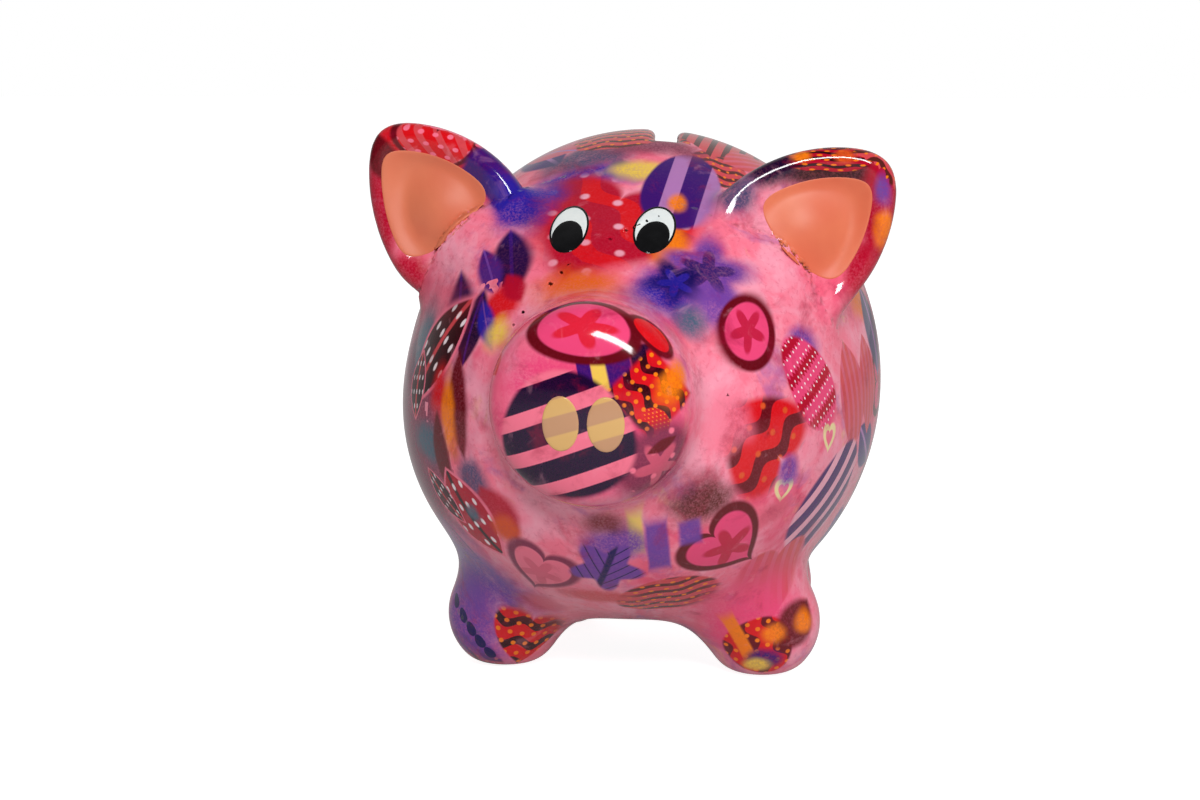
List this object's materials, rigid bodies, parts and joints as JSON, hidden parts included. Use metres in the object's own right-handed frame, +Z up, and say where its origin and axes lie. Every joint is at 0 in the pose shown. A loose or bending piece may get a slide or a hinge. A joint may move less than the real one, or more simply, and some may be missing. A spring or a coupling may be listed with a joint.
{
  "type": "piggy bank",
  "caption": "Round glazed ceramic pig money bank with a coin slot along its back and a pull-out rubber stopper under its belly.",
  "frame": {"origin": "on the floor, under the middle of the pig's overall footprint", "axes": "+Z up; the pig looks along -Y, so +Y points to its tail and +X to its own left"},
  "size_m": [0.1489, 0.1827, 0.1569],
  "materials": {
    "patterned_glaze": "gloss",
    "salmon_enamel": "gloss",
    "white_transfer": "gloss",
    "black_transfer": "gloss",
    "tan_transfer": "gloss",
    "stopper_rubber": "matte"
  },
  "bodies": {
    "bank": {"body_shell": "patterned_glaze", "snout": "patterned_glaze", "tail": "patterned_glaze", "left_ear": "patterned_glaze", "right_ear": "patterned_glaze", "left_ear_patch": "salmon_enamel", "right_ear_patch": "salmon_enamel", "left_eye_white": "white_transfer", "right_eye_white": "white_transfer", "left_eye_black": "black_transfer", "right_eye_black": "black_transfer", "left_nostril": "tan_transfer", "right_nostril": "tan_transfer", "front_left_leg": "patterned_glaze", "front_right_leg": "patterned_glaze", "rear_left_leg": "patterned_glaze", "rear_right_leg": "patterned_glaze"},
    "stopper": {"stopper_plug": "stopper_rubber"}
  },
  "joints": [
    {"name": "stopper_pull", "type": "slide", "parent": "bank", "child": "stopper", "axis": [0, 0, -1], "range_m": [0, 0.0095]}
  ]
}
